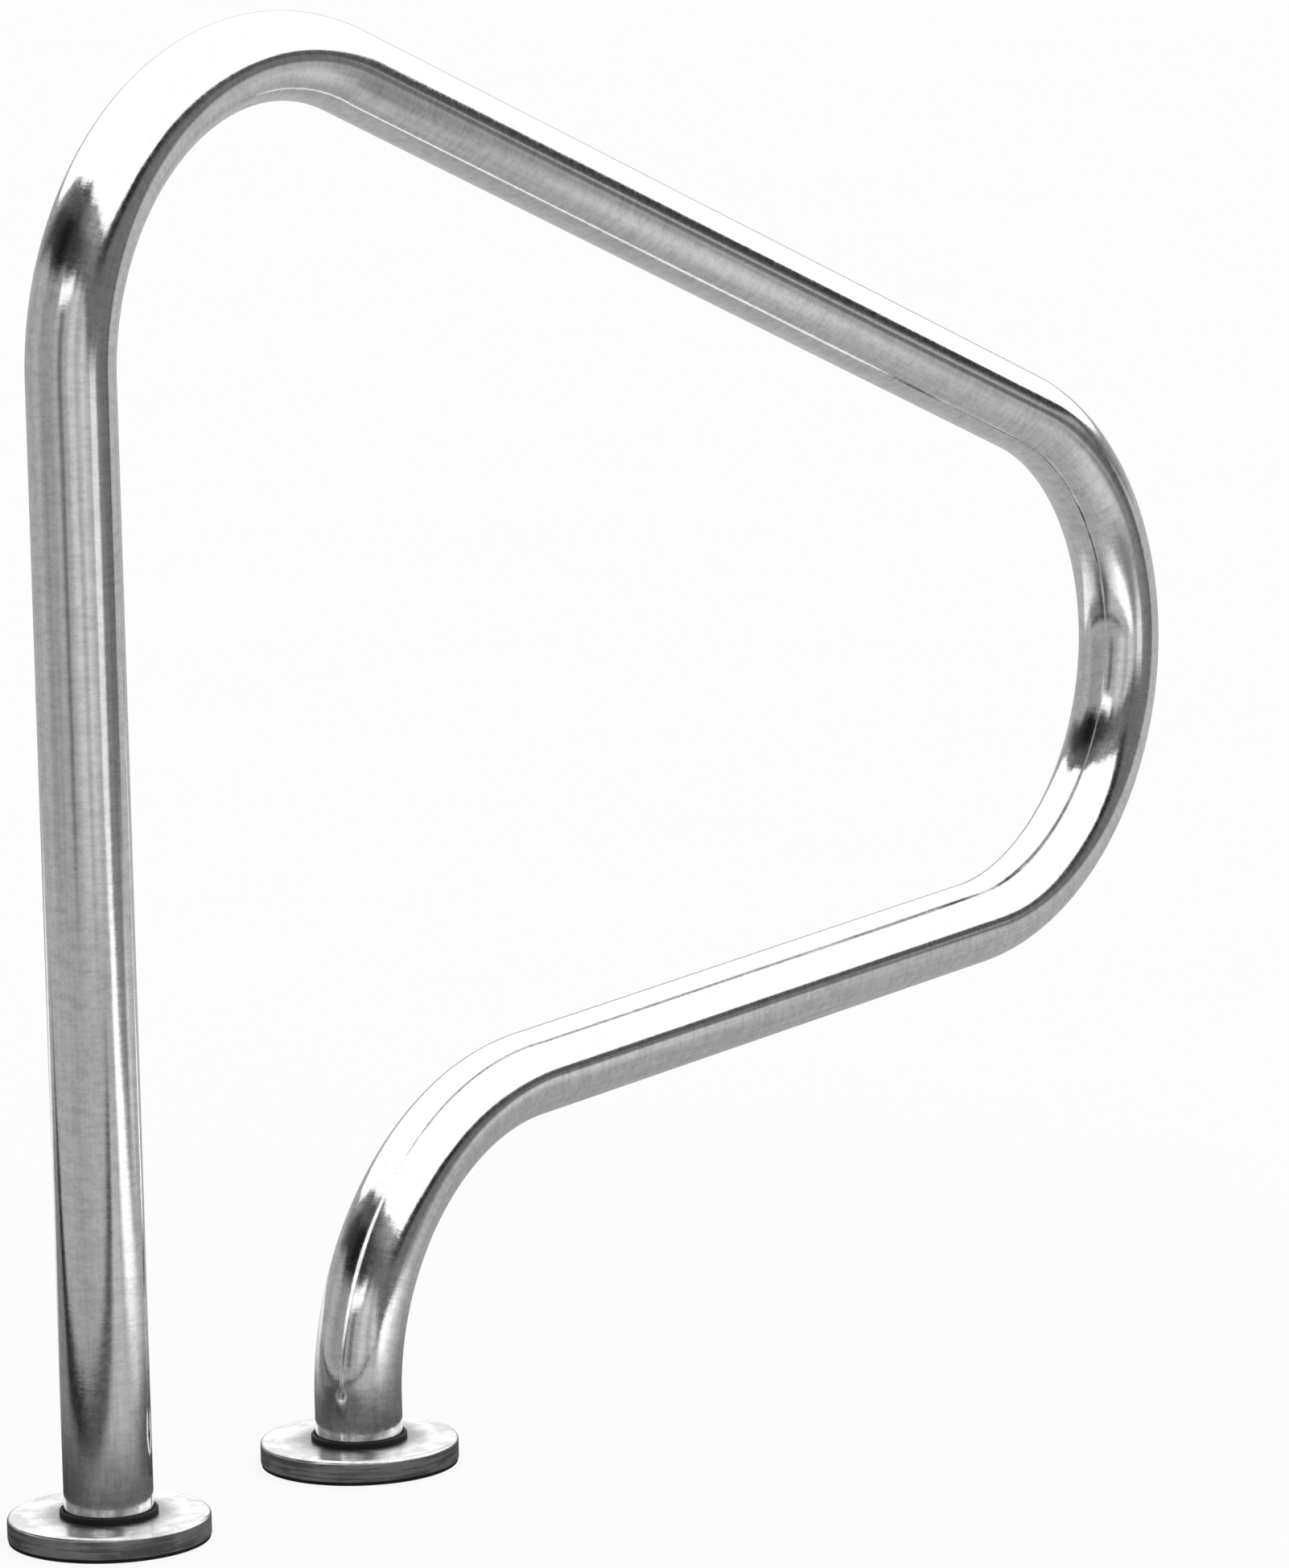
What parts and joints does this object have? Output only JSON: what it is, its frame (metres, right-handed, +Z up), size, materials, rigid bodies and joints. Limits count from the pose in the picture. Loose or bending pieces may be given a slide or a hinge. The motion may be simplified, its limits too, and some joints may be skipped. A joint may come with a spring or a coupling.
{
  "type": "pool handrail",
  "caption": "Deck-mounted swimming pool handrail: one bent stainless tube on two screwed-down feet with sliding round covers.",
  "frame": {"origin": "centre of the long leg at the deck surface", "axes": "+Z up along the legs, +X from the long leg to the short leg and on towards the far bend, Y across the plane of the rail"},
  "size_m": [0.9795, 0.1094, 0.863],
  "materials": {
    "polished_stainless": "mirror-polished stainless steel, not plated",
    "satin_stainless": "turned, satin stainless steel",
    "screw_steel": "plain stainless fasteners",
    "black_rubber": "matt black EPDM rubber"
  },
  "bodies": {
    "rail": {"rail_tube": "polished_stainless", "long_leg_base_plate": "satin_stainless", "long_leg_deck_gasket": "black_rubber", "long_leg_spigot": "satin_stainless", "long_leg_spigot_screws": "screw_steel", "long_leg_lock_screws": "screw_steel", "long_leg_anchor_studs": "screw_steel", "long_leg_anchor_clips": "screw_steel", "long_leg_anchor_washers": "screw_steel", "long_leg_anchor_nuts": "screw_steel", "short_leg_base_plate": "satin_stainless", "short_leg_deck_gasket": "black_rubber", "short_leg_spigot": "satin_stainless", "short_leg_spigot_screws": "screw_steel", "short_leg_lock_screws": "screw_steel", "short_leg_anchor_studs": "screw_steel", "short_leg_anchor_clips": "screw_steel", "short_leg_anchor_washers": "screw_steel", "short_leg_anchor_nuts": "screw_steel"},
    "long_leg_cover_seal": {"long_leg_cover_seal": "black_rubber"},
    "long_leg_cover": {"long_leg_cover": "polished_stainless"},
    "short_leg_cover_seal": {"short_leg_cover_seal": "black_rubber"},
    "short_leg_cover": {"short_leg_cover": "polished_stainless"}
  },
  "joints": [
    {"name": "long_leg_cover_lift", "type": "slide", "parent": "rail", "child": "long_leg_cover_seal", "axis": [0, 0, 1], "range_m": [0, 0.6]},
    {"name": "long_leg_cover_turn", "type": "hinge", "parent": "long_leg_cover_seal", "child": "long_leg_cover", "pos_m": [0, 0, 0.0138], "axis": [0, 0, 1], "continuous": true},
    {"name": "short_leg_cover_lift", "type": "slide", "parent": "rail", "child": "short_leg_cover_seal", "axis": [0, 0, 1], "range_m": [0, 0.018]},
    {"name": "short_leg_cover_turn", "type": "hinge", "parent": "short_leg_cover_seal", "child": "short_leg_cover", "pos_m": [0.2, 0, 0.0138], "axis": [0, 0, 1], "continuous": true}
  ]
}
